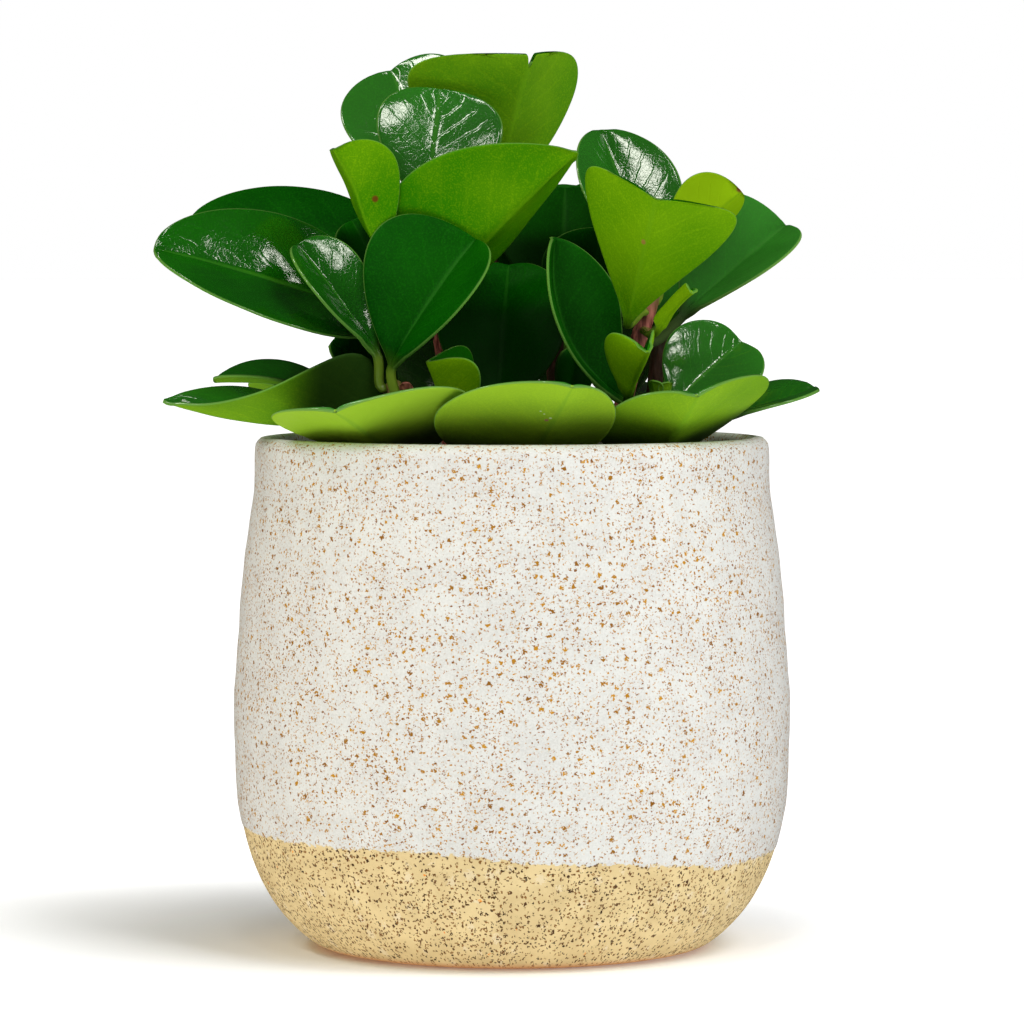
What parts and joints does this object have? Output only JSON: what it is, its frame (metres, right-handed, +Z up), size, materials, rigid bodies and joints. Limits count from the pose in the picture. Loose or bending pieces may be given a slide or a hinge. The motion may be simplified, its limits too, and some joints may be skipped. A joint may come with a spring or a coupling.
{
  "type": "potted peperomia",
  "caption": "Bushy house plant with thick glossy oval leaves on short fleshy stems, growing in a rounded speckled stoneware pot with a bare clay foot.",
  "frame": {"origin": "centre of the pot's flat foot, on the surface it stands on", "axes": "+Z up through the middle of the pot to its open top; -Y to the front, where the lowest leaves lean over the rim; +X to the right seen from the front"},
  "size_m": [0.2077, 0.175, 0.2826],
  "materials": {
    "pot": "satin",
    "soil": "matte",
    "stem": "satin",
    "leaf": "gloss",
    "young_leaf": "satin"
  },
  "bodies": {
    "root": {"pot": "pot", "potting_soil": "soil", "stem_front_left": "stem", "stem_crown_front": "stem", "stem_crown_back": "stem", "stem_right": "stem", "stem_front_right": "stem", "stem_front_middle": "stem", "stem_left_back": "stem", "stem_back_middle": "stem", "stem_back_right": "stem", "leaf_crown_back_left": "leaf", "leaf_crown_back_right": "leaf", "leaf_crown_middle": "leaf", "leaf_crown_front_left": "young_leaf", "leaf_crown_front_right": "leaf", "leaf_left_upright": "leaf", "leaf_left_small": "leaf", "leaf_left_long": "leaf", "leaf_left_far": "leaf", "leaf_left_shaded": "leaf", "leaf_left_under": "leaf", "leaf_left_low_far": "leaf", "leaf_left_low": "leaf", "leaf_rim_left": "leaf", "leaf_rim_middle": "leaf", "leaf_rim_right": "leaf", "leaf_right_low": "leaf", "leaf_middle_rolled": "young_leaf", "leaf_middle_upright": "leaf", "leaf_right_leaning": "leaf", "leaf_right_front": "young_leaf", "leaf_right_top": "leaf", "leaf_right_young": "young_leaf", "leaf_right_far": "leaf", "leaf_right_rolled": "young_leaf", "leaf_right_curl": "young_leaf", "leaf_right_round": "leaf", "leaf_back_upright": "leaf", "leaf_back_tall": "leaf", "leaf_back_left_upright": "leaf", "leaf_middle_shaded": "leaf", "leaf_right_shaded": "leaf", "leaf_back_right_low": "leaf", "leaf_back_right_high": "leaf", "leaf_back_right_inner": "leaf", "leaf_back_low": "leaf", "leaf_back_low_left": "leaf", "leaf_back_low_right": "leaf", "leaf_left_back_low": "leaf", "leaf_left_back_high": "leaf", "leaf_crown_back_low": "leaf", "leaf_crown_side_left": "leaf"}
  },
  "joints": []
}
